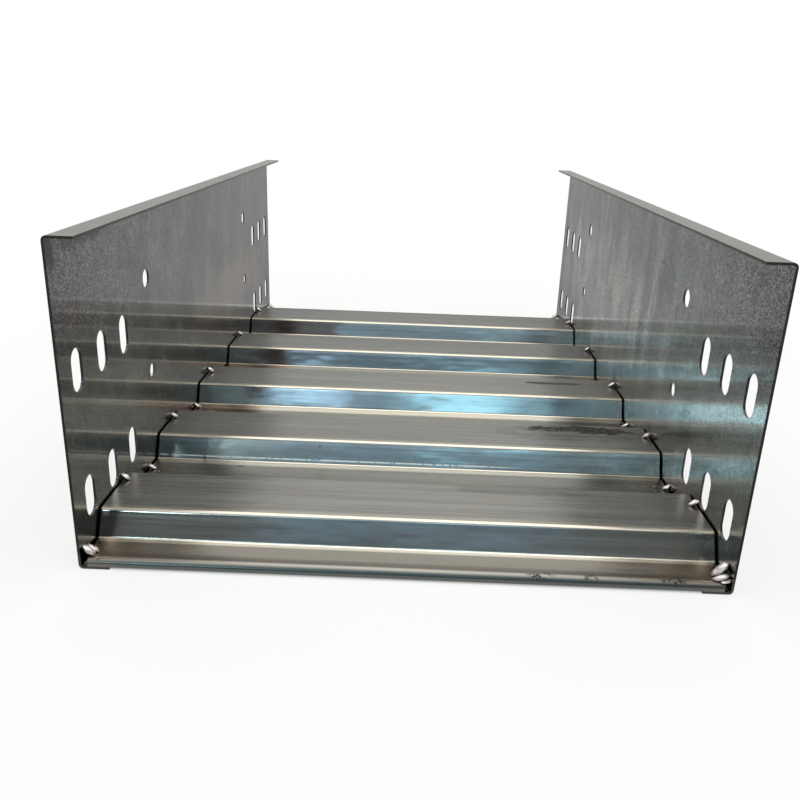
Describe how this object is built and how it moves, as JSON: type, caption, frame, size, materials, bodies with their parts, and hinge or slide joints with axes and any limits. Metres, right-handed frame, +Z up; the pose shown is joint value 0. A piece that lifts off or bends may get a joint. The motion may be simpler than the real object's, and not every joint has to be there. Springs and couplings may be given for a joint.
{
  "type": "cable tray section",
  "caption": "Straight galvanised steel cable tray section with C-shaped slotted side rails and a corrugated base plate tack-welded between them.",
  "frame": {"origin": "middle of the underside: centre of the box's base, on the plane that the rails stand on", "axes": "+X across the tray to the right rail, +Y along the tray, +Z up through the open top"},
  "size_m": [0.3, 0.5, 0.152],
  "materials": {
    "rail_steel": "galvanised, satin, faint spangle and rolling marks",
    "plate_steel": "galvanised, satin, drawn marks across the tray",
    "weld_steel": "bright rounded weld bead"
  },
  "bodies": {
    "root": {"side_rail_left": "rail_steel", "side_rail_right": "rail_steel", "base_plate": "plate_steel", "tack_welds_left": "weld_steel", "tack_welds_right": "weld_steel"}
  },
  "joints": []
}
